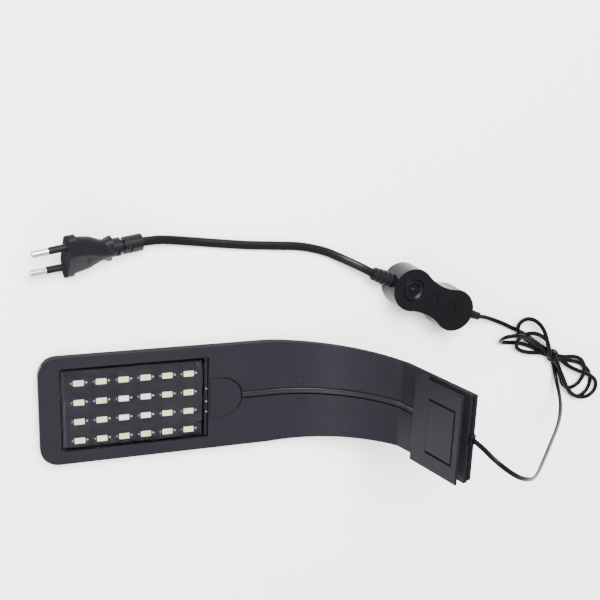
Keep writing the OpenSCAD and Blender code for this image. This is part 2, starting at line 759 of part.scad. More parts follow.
// Four discs whose hull is a flat slice with narrow ends, w wide along Y and t thick along Z, at x
module slice(x, w, t, length) {
    translate([x, 0, 0]) rotate([90, 0, 90]) linear_extrude(length) for (m = [-1, 1]) {
        translate([m * (w / 2 - t / 4), 0]) circle(d = t / 2, $fn = 24);
        translate([m * max(0, w / 2 - t * 0.72), 0]) circle(d = t, $fn = 40);
    }
}
// A flat slice with half-round ends
module oval(x, w, t, length) {
    translate([x, 0, 0]) rotate([90, 0, 90]) linear_extrude(length) {
        for (m = [-1, 1]) translate([m * (w - t) / 2, 0]) circle(d = t);
        square([w - t, t], center = true);
    }
}
insert_size = [5.6, 24, 5];
// How far along, how wide and how thick the plug's body is behind its flange
plug_waist = [[flange_l - eps, face_w - 4, face_t - 1.6], [11, 26.5, face_t - 2], [17, 17.5, face_t - 2.8],
              [plug_l - 1, 12.5, face_t - 3.6]];
module plug_body() {
    color(black) at_plug() difference() {
        union() {
            hull() slice(0, face_w, face_t, flange_l);
            for (i = [0:len(plug_waist) - 2]) hull() {
                slice(plug_waist[i][0], plug_waist[i][1], plug_waist[i][2], 1);
                slice(plug_waist[i + 1][0], plug_waist[i + 1][1], plug_waist[i + 1][2], 1);
            }
            hull() {
                oval(plug_l - 4, 14.5, 9, 0.6, $fn = 32);
                oval(plug_l - 1.8, 17.5, 9, 1.3, $fn = 32);
            }
        }
        translate([1.6, -insert_size[1] / 2, -insert_size[2] / 2]) cube(insert_size);
        for (m = [-1, 1]) translate([0, m * pin_gap / 2, 0]) rotate([0, 90, m * pin_toe])
            translate([0, 0, -1]) cylinder(d = 3, h = 4);
    }
}
module plug_relief() {
    seg = [[0, 4.6, 11, 9], [4.6, 2, 6.4, 6], [6.6, relief_l - 6.6, 10.6, 8.4]];
    color(black) at_plug() translate([plug_l, 0, 0]) difference() {
        for (s = seg) oval(s[0], s[2], s[3], s[1]);
        for (x = [1.8, 9.4]) translate([x, 0, 0]) for (m = [-1, 1])
            translate([0, -3.4, m * 5 - 1.6]) cube([1.4, 6.8, 3.2]);
    }
}
module plug_insert() {
    color("gray") at_plug() difference() {
        translate([1.65, -insert_size[1] / 2 + 0.05, -insert_size[2] / 2 + 0.05])
            cube(insert_size - [0.1, 0.1, 0.1]);
        for (m = [-1, 1]) translate([0, m * pin_gap / 2, 0]) rotate([0, 90, m * pin_toe])
            translate([0, 0, -1]) cylinder(d = 3, h = 7);
    }
}
module each_pin() {
    at_plug() for (m = [-1, 1]) translate([0, m * pin_gap / 2, 0]) rotate([0, 90, m * pin_toe]) children();
}
module plug_pins() {
    nose = 1;
    color(steel) each_pin() rotate_extrude() polygon(concat(
        [for (a = [0:15:90]) [(pin_d / 2 - nose) * (a > 0 ? 1 : 0) + nose * sin(a),
                              -pin_l + nose - nose * cos(a)]],
        [[pin_d / 2, -sleeve_l], [1.5, -sleeve_l], [1.5, 5.5], [0, 5.5]]));
}
module pin_sleeves() {
    color(black) each_pin() translate([0, 0, -sleeve_l]) difference() {
        cylinder(d = pin_d, h = sleeve_l - 0.1);
        translate([0, 0, -1]) cylinder(d = 3, h = sleeve_l + 2);
    }
}

back_shell();
front_cover();
wire_cover();
led_board();
thermal_tape();
board_screws();
led_bodies();
led_windows_warm();
led_windows_white();
solder_pads();
lens_seal();
lens();
core_wires();
arm_lead();
cord_gland();
clip_wall();
clip_plate();
pressure_tongue();
dc_cord_a();
dc_hank();
hank_tie();
dc_cord_b();
dc_relief();
switch_base();
switch_lid();
button_collar();
push_button();
button_spring();
switch_plunger();
latch_switch();
driver_board();
driver_transformer();
driver_capacitor();
driver_bridge();
driver_fuse();
switch_wires();
case_screws();
ac_relief();
ac_cord();
plug_body();
plug_relief();
plug_insert();
plug_pins();
pin_sleeves();
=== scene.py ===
import math
import bmesh
import bpy
from mathutils import Matrix, Vector


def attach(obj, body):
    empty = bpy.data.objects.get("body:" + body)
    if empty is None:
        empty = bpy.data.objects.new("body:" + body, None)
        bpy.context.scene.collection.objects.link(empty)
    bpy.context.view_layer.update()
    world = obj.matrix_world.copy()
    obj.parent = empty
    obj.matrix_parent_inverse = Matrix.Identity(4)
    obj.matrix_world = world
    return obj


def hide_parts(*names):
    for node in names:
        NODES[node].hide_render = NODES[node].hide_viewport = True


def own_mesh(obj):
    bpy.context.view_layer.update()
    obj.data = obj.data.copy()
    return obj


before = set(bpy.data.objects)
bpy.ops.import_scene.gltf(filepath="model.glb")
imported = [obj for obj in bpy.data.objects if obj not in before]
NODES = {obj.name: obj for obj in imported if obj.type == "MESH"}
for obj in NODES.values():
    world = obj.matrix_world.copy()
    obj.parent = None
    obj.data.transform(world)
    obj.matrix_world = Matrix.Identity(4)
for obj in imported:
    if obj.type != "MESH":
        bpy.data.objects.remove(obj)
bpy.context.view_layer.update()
MM = 0.001

# -------------------------------------- the design's values in mm and degrees, as in part.scad
HEAD_L, HEAD_T = 134, 8
BEND_R, BEND_A, KINK_R, KINK_A = 80, 57, 5, 19
CLIP_L, CLIP_T, GLASS_GAP = 56, 5.2, 5
PLATE_T, PLATE_L = 1.8, 37.5
CLIP_A = BEND_A + KINK_A

# places along the light side, measured from the head's tip
S_BEND = HEAD_L
S_KINK = S_BEND + BEND_R * math.radians(BEND_A)
S_CLIP = S_KINK + KINK_R * math.radians(KINK_A)
S_END = S_CLIP + CLIP_L
S_PLATE = S_END - PLATE_L
S_HINGE = S_PLATE + 12.5
HINGE_R = PLATE_T / 2

RECESS_X, RECESS_Y, RECESS_W, CLEAR = 11.6, 0.5, 49.4, 0.4
LENS_Z, LENS_L, LENS_T = 6.95, 81.8, 1
COVER_X, COVER_LEN, COVER_R = 97.6, 7, 11.6

LEAD_W, LEAD_T, LEAD_DEPTH = 2.8, 1.6, 2.5
MAINS_W, MAINS_T = 5.2, 3.2

SWITCH, SWITCH_A = Vector((219.4, 60.7, 0)), -27
LOBE_GAP = 32
RELIEF_Z, RELIEF_AC_A, RELIEF_DC_A, RELIEF_AC_R, RELIEF_DC_R = 9, 5, 8, 26, 25
BUTTON_R, BUTTON_TOP = 6.3, 18.6
FLANGE_Z, FLANGE_T, FLANGE_RIM = 14.4, 1.2, 0.8
PLUNGER_HOLE_R, PLUNGER_HOLE_L = 1.55, 1.5

PLUG_POS = Vector((16.4, 89.5, 12.9))
PLUG_YAW, PLUG_TILT, PLUG_ROLL = 7, 9, 43
PLUG_L, PLUG_RELIEF_L = 25, 17


def turn(s):
    """The side view's heading at s, in degrees."""
    if s < S_BEND:
        return 0.0
    if s < S_KINK:
        return math.degrees((s - S_BEND) / BEND_R)
    if s < S_CLIP:
        return BEND_A + math.degrees((s - S_KINK) / KINK_R)
    return CLIP_A


def light_point(s):
    """The light side's point in the side view at s along it, in mm from the head's tip."""
    def arc(x, z, r, a0, a1):
        a0, a1 = math.radians(a0), math.radians(a1)
        return x + r * (math.sin(a1) - math.sin(a0)), z + r * (math.cos(a0) - math.cos(a1))
    if s < S_BEND:
        return s, HEAD_T
    x, z = arc(S_BEND, HEAD_T, BEND_R, 0, turn(min(s, S_KINK - 1e-9)))
    if s < S_KINK:
        return x, z
    x, z = arc(x, z, KINK_R, BEND_A, turn(min(s, S_CLIP - 1e-9)))
    if s < S_CLIP:
        return x, z
    a = math.radians(CLIP_A)
    return x + (s - S_CLIP) * math.cos(a), z + (s - S_CLIP) * math.sin(a)


def at(s, d):
    """The side view's point at s along the light side and d below it."""
    x, z = light_point(s)
    a = math.radians(turn(s))
    return x + d * math.sin(a), z - d * math.cos(a)


LAMP_X = at(S_END, CLIP_T)[0]


def model(p):
    """From the lamp's own millimetres, x from the head's tip, to metres in the model's frame."""
    return Vector(((p[0] - LAMP_X / 2) * MM, p[1] * MM, p[2] * MM))


# ---------------------------------------------------------------- camera
def make_camera():
    """A camera high above the head's tip, on the plug's side, that looks down along the lamp."""
    right = Vector((0.93991, 0.03787, 0.33931))
    up = Vector((0.06049, 0.95964, -0.27464))
    back = Vector((-0.33602, 0.27866, 0.89969))
    data = bpy.data.cameras.new("camera")
    data.sensor_width = 36
    data.lens = 58.61
    data.clip_start = 0.01
    data.clip_end = 20
    cam = bpy.data.objects.new("camera", data)
    bpy.context.scene.collection.objects.link(cam)
    place = Matrix((right, up, back)).transposed().to_4x4()
    place.translation = Vector((-0.15184, 0.21555, 0.52251))
    cam.matrix_world = place
    bpy.context.scene.camera = cam


# ---------------------------------------------------------------- mesh helpers
def new_object(name, mesh):
    o = bpy.data.objects.new(name, mesh)
    bpy.context.scene.collection.objects.link(o)
    return o


def from_bmesh(name, bm, crease):
    """A smooth-shaded object from bm, whose edges over crease degrees stay sharp."""
    mesh = bpy.data.meshes.new(name)
    bmesh.ops.recalc_face_normals(bm, faces=bm.faces)
    bm.to_mesh(mesh)
    bm.free()
    mesh.shade_smooth()
    mesh.set_sharp_from_angle(angle=math.radians(crease))
    return new_object(name, mesh)


def set_material(o, mat):
    """Gives a piece one material. Faces that take another are picked after this."""
    o.data.materials.clear()
    o.data.materials.append(mat)


def spline_points(route, n):
    """Catmull-Rom points through a route, n to each stretch."""
    pts = [Vector(p) for p in route]
    out = []
    for i in range(len(pts) - 1):
        a, b, c, d = pts[max(i - 1, 0)], pts[i], pts[i + 1], pts[min(i + 2, len(pts) - 1)]
        for k in range(n):
            t = k / n
            out.append(0.5 * (2 * b + (c - a) * t + (2 * a - 5 * b + 4 * c - d) * t * t
                              + (3 * b - a - 3 * c + d) * t ** 3))
    out.append(pts[-1])
    return out


def relaxed(points, rounds):
    """Averages each inner point with its neighbours, to soften a route's small kinks."""
    for _ in range(rounds):
        points = ([points[0], points[1]]
                  + [(points[i - 1] + 2 * points[i] + points[i + 1]) / 4 for i in range(2, len(points) - 2)]
                  + [points[-2], points[-1]])
    return points


def twin_profile(width, thick, groove, n):
    """A flat two-core outline. groove is how far its middle draws in, as a share of its half thickness."""
    r = thick / 2
    c = width / 2 - r
    steep, groove_w = 2.2, 0.32 * c + 1e-6
    out = []
    for k in range(n):
        a = 2 * math.pi * (k + 0.5) / n
        x, y = math.cos(a), math.sin(a)
        px = c * (1 if x > 0 else -1) * min(1, abs(x) * steep) + r * x
        waist = 1 - groove * math.exp(-(px / groove_w) ** 2)
        out.append((px, r * y * waist))
    return out


def circle(r, n):
    """A round outline of n points."""
    return [(r * math.cos(2 * math.pi * k / n), r * math.sin(2 * math.pi * k / n)) for k in range(n)]


def level(p, heading):
    """The side of a section whose width lies level."""
    return Vector((0, 0, 1)).cross(heading).normalized()


def skin(bm, rings):
    """Joins closed rings of as many points into a tube with flat ends."""
    n = len(rings[0])
    for a, b in zip(rings, rings[1:]):
        for k in range(n):
            j = (k + 1) % n
            bm.faces.new((a[k], a[j], b[j], b[k]))
    bm.faces.new(rings[0])
    bm.faces.new(list(reversed(rings[-1])))


def swept(name, line, profile, side_of=level):
    """A tube along line, in mm. side_of gives where a section's width points, from its place and heading."""
    bm = bmesh.new()
    rings = []
    for i, p in enumerate(line):
        heading = (line[min(i + 1, len(line) - 1)] - line[max(i - 1, 0)]).normalized()
        side = side_of(p, heading)
        up = heading.cross(side)
        rings.append([bm.verts.new(model(p + side * x + up * y)) for x, y in profile])
    skin(bm, rings)
    return from_bmesh(name, bm, 60)


# ---------------------------------------------------------------- cords
# The routes' points are listed, in mm, and repeat part.scad's up to the hank and after it. The
# lead hangs from the clip's end down to the floor, is folded where dc_hank is, and runs on to the switch.
EXIT_X, EXIT_Z = at(S_END + 2, LEAD_DEPTH)
ROUTE_A = [
    (EXIT_X, 0, EXIT_Z), (220.5, -2, 108), (223.5, -5.5, 113.5), (228, -9.5, 117),
    (234, -14, 118), (241, -18.5, 116), (249, -22.5, 111.5), (257, -26, 105), (266, -28, 96),
    (276, -29, 85), (288, -29, 72), (300, -28.5, 59), (312, -28, 46), (323, -26.5, 33),
    (331.5, -23.5, 21), (336.5, -19, 11), (337.5, -12.5, 5), (337, -6.4, 2.5)]

# The tie holds the hank's strands in two columns, one above the other at the heights in LEVELS.
TIE, TIE_A = Vector((333, 5, 0)), math.radians(-28)
ALONG = Vector((math.cos(TIE_A), math.sin(TIE_A), 0))
ACROSS = Vector((-ALONG.y, ALONG.x, 0))
LEVELS = (1.05, 2.95, 4.85, 6.75)
COLUMN_STEP, TIE_REACH = 1.5, 2.4


def in_tie(column, row, to_right):
    """A strand's two points at the tie, in the order that the strand runs."""
    mid = TIE + ACROSS * (COLUMN_STEP * column) + Vector((0, 0, LEVELS[row]))
    step = ALONG * (TIE_REACH if to_right else -TIE_REACH)
    return [tuple(mid - step), tuple(mid + step)]


HANK = (
    in_tie(-1, 0, False)
    # narrow loop on the left, which stands up at its end
    + [(322, 9.4, 1.2), (311, 14, 1.1), (304, 15.4, 1.1), (297.6, 16, 1.2), (292.8, 17.4, 3),
       (291, 20.2, 6.4), (293, 23, 9.8), (298.6, 23.8, 11.2), (306, 22, 9.6), (313, 18.4, 6.8),
       (319, 14.8, 5.3)]
    + in_tie(1, 2, True)
    # small loop on the right
    + [(342, 3.6, 4.8), (349, 3.2, 4.5), (355.5, 0.8, 3.9), (360, -4.6, 3.2), (360.6, -11.8, 2.7),
       (356.8, -18, 2.3), (350.4, -20.4, 2.1), (344.8, -16.8, 2.1), (341.6, -9.4, 2.5)]
    + in_tie(-1, 1, False)
    # crescent on the left
    + [(324.5, 7.2, 2.9), (316.5, 8, 2.8), (309.6, 9.8, 3.2), (304.2, 13.2, 4.4), (303.6, 18.8, 6),
       (308, 22.8, 7.2), (315.6, 22.8, 7.3), (322.6, 19.4, 6.8), (327.6, 14.6, 5.4)]
    + in_tie(1, 1, True)
    # outer loop on the right
    + [(342, 1.2, 2.9), (350, -0.6, 2.5), (358.4, -3.6, 1.5), (365, -9, 1.05), (368, -16, 1),
       (366.4, -23.4, 1), (360.4, -27.6, 1.2), (353, -25.2, 1.9), (347, -18, 3.8), (342.4, -10, 4.6)]
    + in_tie(-1, 2, False)
    # round loop at the top left
    + [(325, 10.2, 4.7), (317, 14.6, 3.2), (309.8, 19, 3.1), (304.4, 23.6, 4), (304, 29.4, 5),
       (308.6, 32.8, 5.7), (315, 31.4, 6.3), (320.6, 26.4, 7), (324.2, 19.4, 7.7), (327, 11, 7.6)]
    + in_tie(-1, 3, True)
    # rightmost loop
    + [(340.6, -9.4, 6.6), (345, -17, 6), (350.6, -22.8, 4.7), (357.4, -27, 3.4), (365.4, -27.8, 3),
       (371.2, -23.4, 3), (370.6, -16.4, 3.6), (363, -10.8, 4.7), (353.6, -7, 4.6), (346, -3, 2.8)]
    + in_tie(1, 0, False)
    + [(325, 11.6, 1.1), (317, 17.2, 1.2), (308.6, 22.4, 1.8)])
ROUTE_B = [(300, 26.5, 2.4), (294, 29.5, 2.2), (287, 32.4, 2.8), (281, 34.9, 4.8), (276, 36.8, 7)]
MAINS_ROUTE = [
    (189, 73.7, 7.8), (182.5, 76.7, 5.6), (176, 79.6, 3.6), (166, 83.6, 2.1), (152, 86.8, 1.8),
    (136, 88, 1.8), (120, 89, 1.8), (104, 90.6, 1.8), (90, 92.2, 1.9), (79, 93.6, 2.7), (68, 94.9, 4.7)]


def polar(r, degrees, z=0):
    a = math.radians(degrees)
    return Vector((r * math.cos(a), r * math.sin(a), z))


AC_END = SWITCH - polar(RELIEF_AC_R, SWITCH_A + RELIEF_AC_A, -RELIEF_Z)
DC_END = SWITCH + polar(LOBE_GAP, SWITCH_A) + polar(RELIEF_DC_R, SWITCH_A + RELIEF_DC_A, RELIEF_Z)
PLUG_TURN = (Matrix.Rotation(math.radians(PLUG_YAW), 3, "Z")
             @ Matrix.Rotation(math.radians(PLUG_TILT), 3, "Y")
             @ Matrix.Rotation(math.radians(PLUG_ROLL), 3, "X"))
PLUG_END = PLUG_POS + PLUG_TURN @ Vector((PLUG_L + PLUG_RELIEF_L, 0, 0))

SAMPLES = 8             # points to each stretch of a route
LYING_TOP, TURNING_H = 8, 20
HANGING_FACE = Vector((-0.4, 0.1, 0.9))


def hanging(p, heading):
    """As level, but where the lead hangs well off the floor its flat side turns to HANGING_FACE."""
    lift = min(1, max(0, (p.z - LYING_TOP) / TURNING_H))
    return Vector((0, 0, 1)).lerp(HANGING_FACE, lift).cross(heading).normalized()


def cord_on(name, line, profile, side_of, mat, *nodes):
    """A cord's mesh along its line, which stands for its CAD nodes."""
    cord = swept(name, line, profile, side_of)
    set_material(cord, mat)
    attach(cord, "lamp")
    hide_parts(*nodes)
    return cord


def make_cords(mats):
    """The two cords, each with the smooth line that it follows."""
    lead_line = relaxed(spline_points(ROUTE_A + HANK + ROUTE_B + [tuple(DC_END)], SAMPLES), rounds=6)
    lead = cord_on("low_voltage_lead", lead_line, twin_profile(LEAD_W, LEAD_T, groove=0.6, n=20), hanging,
                   mats["lead"], "dc_cord_a", "dc_hank", "dc_cord_b")
    mains_line = relaxed(spline_points([tuple(AC_END)] + MAINS_ROUTE + [tuple(PLUG_END)], SAMPLES), rounds=2)
    mains = cord_on("mains_cord", mains_line, twin_profile(MAINS_W, MAINS_T, groove=0.06, n=24), level,
                    mats["mains"], "ac_cord")
    return lead, lead_line, mains, mains_line


# ---------------------------------------------------------------- materials
def tree(name):
    """A new material's node tree and its principled shader."""
    mat = bpy.data.materials.new(name)
    mat.use_nodes = True
    nodes, links = mat.node_tree.nodes, mat.node_tree.links
    return mat, nodes, links, nodes["Principled BSDF"]


def noise(nodes, links, scale, detail, rough):
    coord = nodes.new("ShaderNodeTexCoord")
    tex = nodes.new("ShaderNodeTexNoise")
    tex.inputs["Scale"].default_value = scale
    tex.inputs["Detail"].default_value = detail
    tex.inputs["Roughness"].default_value = rough
    links.new(coord.outputs["Object"], tex.inputs["Vector"])
    return tex


def ramp(nodes, links, source, stops):
    """A colour ramp on source, from (position, colour) stops."""
    r = nodes.new("ShaderNodeValToRGB")
    for element, (position, colour) in zip(r.color_ramp.elements, stops):
        element.position = position
        element.color = (*colour, 1)
    links.new(source, r.inputs["Fac"])
    return r


def grey(v):
    return (v, v, v)


DRIFT_SCALE, ROUGH_SPREAD = 60, 0.08


def surface(name, base, rough, variation=0.12, grain=900, bump=0.15, bump_mm=0.03, specular=0.5,
            metallic=0.0):
    """A moulded or metal surface: large soft colour drift, and fine grain in its roughness and bump."""
    mat, nodes, links, bsdf = tree(name)
    drift = noise(nodes, links, DRIFT_SCALE, 3, 0.55)
    darkest = tuple(c * (1 - variation) for c in base)
    lightest = tuple(min(1, c * (1 + variation)) for c in base)
    colour = ramp(nodes, links, drift.outputs["Fac"], [(0.3, darkest), (0.7, lightest)])
    links.new(colour.outputs["Color"], bsdf.inputs["Base Color"])
    fine = noise(nodes, links, grain, 4, 0.6)
    roughness = ramp(nodes, links, fine.outputs["Fac"],
                     [(0.3, grey(max(0, rough - ROUGH_SPREAD))), (0.7, grey(min(1, rough + ROUGH_SPREAD)))])
    links.new(roughness.outputs["Color"], bsdf.inputs["Roughness"])
    relief = nodes.new("ShaderNodeBump")
    relief.inputs["Strength"].default_value = bump
    relief.inputs["Distance"].default_value = bump_mm * MM
    links.new(fine.outputs["Fac"], relief.inputs["Height"])
    links.new(relief.outputs["Normal"], bsdf.inputs["Normal"])
    bsdf.inputs["Specular IOR Level"].default_value = specular
    bsdf.inputs["Metallic"].default_value = metallic
    return mat


def clear_lens():
    """Clear acrylic with a slight haze."""
    mat, nodes, links, bsdf = tree("clear_acrylic")
    haze = noise(nodes, links, 400, 2, 0.5)
    r = ramp(nodes, links, haze.outputs["Fac"], [(0.35, grey(0.03)), (0.7, grey(0.07))])
    links.new(r.outputs["Color"], bsdf.inputs["Roughness"])
    bsdf.inputs["Base Color"].default_value = (0.97, 0.98, 1, 1)
    bsdf.inputs["Transmission Weight"].default_value = 1
    bsdf.inputs["IOR"].default_value = 1.15
    return mat


def plastics():
    """The dark plastics and the board's mask.

    Each has its base colour, roughness, variation, grain, bump, the bump's depth in mm and specular level.
    """
    return {
        "housing": surface("charcoal_abs", (0.0096, 0.0093, 0.0126), 0.4, 0.06, 1500, 0.2, 0.02, 0.06),
        # edge: a darker, duller copy of the housing finish for the long side walls and the clip's end,
        # painted shade that keeps them dark
        "edge": surface("charcoal_edge_shaded", (0.0070, 0.0068, 0.0092), 0.6, 0.06, 1500, 0.2, 0.02, 0.03),
        "switch": surface("gloss_case", (0.0046, 0.0045, 0.0058), 0.24, 0.06, 1200, 0.08, 0.01, 0.08),
        "lid": surface("black_lid", (0.0024, 0.0024, 0.0032), 0.34, 0.08, 1200, 0.15, 0.02, 0.09),
        "lead": surface("lead_pvc", (0.0024, 0.0024, 0.0030), 0.26, 0.1, 1600, 0.1, 0.01, 0.08),
        # core: a lighter, glossier copy of the lead's own finish for its stretch in the arm, a painted
        # highlight so the two cores show light lines
        "core": surface("lead_cores_lit", (0.007, 0.007, 0.009), 0.3, 0.1, 1600, 0.05, 0.005, 0.2),
        "mains": surface("mains_pvc", (0.0022, 0.0022, 0.0028), 0.3, 0.1, 1600, 0.1, 0.01, 0.14),
        "pvc": surface("soft_pvc", (0.0052, 0.0052, 0.0066), 0.42, 0.1, 1400, 0.25, 0.02, 0.1),
        "face": surface("matte_face", (0.016, 0.016, 0.019), 0.8, 0.1, 1400, 0.25, 0.02, 0.0),
        "board": surface("solder_mask", (0.0072, 0.0074, 0.0098), 0.32, 0.06, 300, 0.02, 0.005, 0.12),
        "wire": surface("wire_insulation", (0.006, 0.006, 0.007), 0.4, specular=0.2)}


def led_parts():
    """The LED packages, their windows, and the solder and tape at the board."""
    return {
        "led": surface("led_package", (0.86, 0.87, 0.84), 0.4, 0.04, 1500, 0.1, 0.01),
        "warm": surface("warm_phosphor", (0.78, 0.76, 0.23), 0.35, 0.08, 1500, 0.1, 0.01, 0.3),
        "white": surface("white_phosphor", (0.92, 0.93, 0.92), 0.35, 0.04, 1500, 0.1, 0.01),
        "solder": surface("bright_solder", (0.85, 0.85, 0.87), 0.25, 0.08, 1500, 0.1, 0.02, metallic=1.0),
        "tape": surface("white_tape", (0.7, 0.7, 0.68), 0.8),
        "lens": clear_lens()}


def metals():
    """The screws, the spring and the plug's pins."""
    return {
        "screw": surface("black_oxide", (0.02, 0.02, 0.02), 0.4, metallic=0.7),
        "steel": surface("zinc_steel", (0.6, 0.6, 0.62), 0.3, 0.1, 2500, 0.2, 0.01, metallic=1.0),
        "pin": surface("nickel_brass", (0.55, 0.55, 0.545), 0.2, 0.08, 2500, 0.15, 0.01, metallic=1.0)}


def driver_parts():
    """What the switch case and the plug hide."""
    return {
        "inner": surface("inner_nylon", (0.3, 0.3, 0.31), 0.5),
        "pcb": surface("green_mask", (0.01, 0.1, 0.03), 0.35),
        "winding": surface("winding_tape", (0.7, 0.5, 0.05), 0.45),
        "cap": surface("cap_sleeve", (0.01, 0.02, 0.1), 0.3),
        "chip": surface("chip_epoxy", (0.02, 0.02, 0.02), 0.5),
        "fuse": surface("fuse_sleeve", (0.2, 0.06, 0.02), 0.35)}


def make_materials():
    return {**plastics(), **led_parts(), **metals(), **driver_parts()}


NODE_MATERIAL = {
    "back_shell": "housing", "front_cover": "housing", "wire_cover": "housing", "clip_wall": "housing",
    "clip_plate": "housing", "pressure_tongue": "housing", "switch_base": "switch", "switch_lid": "lid",
    "button_collar": "lid", "push_button": "lid", "arm_lead": "lead", "dc_cord_a": "lead",
    "dc_hank": "lead", "dc_cord_b": "lead", "ac_cord": "mains", "hank_tie": "lead", "cord_gland": "pvc",
    "dc_relief": "pvc", "ac_relief": "pvc", "plug_body": "pvc", "plug_relief": "pvc", "pin_sleeves": "pvc",
    "lens_seal": "board", "led_board": "board", "thermal_tape": "tape", "board_screws": "screw",
    "led_bodies": "led", "led_windows_warm": "warm", "led_windows_white": "white",
    "solder_pads": "solder", "lens": "lens", "core_wires": "wire", "switch_wires": "wire",
    "plug_insert": "inner", "latch_switch": "inner", "switch_plunger": "inner", "button_spring": "steel",
    "case_screws": "steel", "plug_pins": "pin", "driver_board": "pcb", "driver_transformer": "winding",
    "driver_capacitor": "cap", "driver_bridge": "chip", "driver_fuse": "fuse"}


def placed_piece(o, mat, body, node):
    """Dresses a piece that stands for a CAD node, and takes its finish."""
    set_material(o, mat)
    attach(o, body)
    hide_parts(node)
    return o


def added_piece(o, mat):
    """Dresses a soft piece on the lamp that has no CAD node."""
    set_material(o, mat)
    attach(o, "lamp")
    return o


def softened(node, mat, width, angle=30, body="lamp", crisp=None, side_mat=None, is_side=None):
    """A copy of a CAD node's mesh with its edges over angle degrees rounded, which stands for that node.

    crisp says of an edge's middle, in metres, that the edge stays sharp. side_mat goes on the faces whose
    normal and middle is_side picks.
    """
    bm = bmesh.new()
    bm.from_mesh(NODES[node].data)
    bmesh.ops.remove_doubles(bm, verts=bm.verts, dist=2e-6)
    bmesh.ops.dissolve_limit(bm, angle_limit=math.radians(0.6), verts=bm.verts, edges=bm.edges)
    weight = bm.edges.layers.float.new("bevel_weight_edge")
    for e in bm.edges:
        if len(e.link_faces) == 2 and e.calc_face_angle(0) > math.radians(angle):
            e[weight] = 0 if crisp and crisp((e.verts[0].co + e.verts[1].co) / 2) else 1
    o = placed_piece(from_bmesh(node + "_soft", bm, 32), mat, body, node)
    if side_mat:
        o.data.materials.append(side_mat)
        for f in o.data.polygons:
            if is_side(f.normal, f.center):
                f.material_index = 1
    bevel = o.modifiers.new("edge", "BEVEL")
    bevel.width = width * MM
    bevel.segments = 3
    bevel.limit_method = "WEIGHT"
    bevel.use_clamp_overlap = True
    flat = o.modifiers.new("flat_faces", "WEIGHTED_NORMAL")
    flat.keep_sharp = True
    return o


def lathe(bm, profile, n, place):
    """A turned surface from (radius, height) points in mm. place takes a Vector to the model's frame."""
    rings = []
    for r, z in profile:
        if r < 1e-6:
            rings.append([bm.verts.new(place(Vector((0, 0, z))))])
        else:
            rings.append([bm.verts.new(place(polar(r, 360 * k / n, z))) for k in range(n)])
    for a, b in zip(rings, rings[1:]):
        for k in range(n):
            j = (k + 1) % n
            corners = [a[k % len(a)], a[j % len(a)], b[j % len(b)], b[k % len(b)]]
            ring = []
            for v in corners:
                if v not in ring:
                    ring.append(v)
            if len(ring) > 2:
                bm.faces.new(ring)


def box_part(bm, lo, hi, place):
    """A closed box between two corners in mm."""
    corners = [(x, y, z) for z in (lo[2], hi[2]) for y in (lo[1], hi[1]) for x in (lo[0], hi[0])]
    v = [bm.verts.new(place(Vector(c))) for c in corners]
    for f in ((0, 2, 3, 1), (4, 5, 7, 6), (0, 1, 5, 4), (2, 6, 7, 3), (0, 4, 6, 2), (1, 3, 7, 5)):
        bm.faces.new([v[i] for i in f])


def on_switch(v):
    """From the switch's own millimetres to the model's frame."""
    a = math.radians(SWITCH_A)
    turned = Vector((v.x * math.cos(a) - v.y * math.sin(a), v.x * math.sin(a) + v.y * math.cos(a), v.z))
    return model(SWITCH + turned)


def on_plug(v):
    """From the plug's own millimetres to the model's frame."""
    return model(PLUG_POS + PLUG_TURN @ v)


def make_button(mats):
    """The dished push button with its small dome, on its flange."""
    r = BUTTON_R
    dome = [(0, 0.55), (0.9, 0.65), (1.6, 1.05), (1.85, 1.75)]
    dish = [(2.5, 1.95), (3.3, 1.8), (3.7, 1.1), (4.2, 0.75), (5.2, 0.3)]
    rim = [(r - 0.7, 0.03), (r - 0.35, 0.04), (r - 0.1, 0.2), (r, 0.5)]
    flange_top = FLANGE_Z + FLANGE_T
    hole_top = FLANGE_Z + PLUNGER_HOLE_L
    profile = [(x, BUTTON_TOP - depth) for x, depth in dome + dish + rim]
    profile += [(r, flange_top), (r + FLANGE_RIM, flange_top), (r + FLANGE_RIM, FLANGE_Z),
                (PLUNGER_HOLE_R, FLANGE_Z), (PLUNGER_HOLE_R, hole_top), (0, hole_top)]
    bm = bmesh.new()
    lathe(bm, profile, 96, on_switch)
    return placed_piece(from_bmesh("push_button_dished", bm, 40), mats["lid"], "button", "push_button")


def make_spring(mats):
    """The button's return spring, a copy of its CAD mesh that rides on the lamp."""
    bm = bmesh.new()
    bm.from_mesh(NODES["button_spring"].data)
    o = placed_piece(from_bmesh("return_spring", bm, 60), mats["steel"], "lamp", "button_spring")
    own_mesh(o)
    return o


def make_cover_shadow_bead(mats):
    """A dark bead round the D-shaped wire cover that stands for the shadow in the gap round it: painted
    shade, not a real sealant.
    """
    bead_r, sink = 0.42, 0.3
    z = HEAD_T + bead_r - sink
    start, arc_x = COVER_X + 0.5, COVER_X + COVER_LEN
    middle = COVER_X + COVER_LEN / 2
    line = [(start, COVER_R), (middle, COVER_R)]
    line += [(arc_x + COVER_R * math.cos(a), COVER_R * math.sin(a))
             for a in (math.radians(90 - 5 * k) for k in range(37))]
    line += [(middle, -COVER_R), (start, -COVER_R)]
    points = [Vector((x, y, z)) for x, y in line]
    return added_piece(swept("wire_cover_shadow_bead", points, circle(bead_r, 10)), mats["lid"])


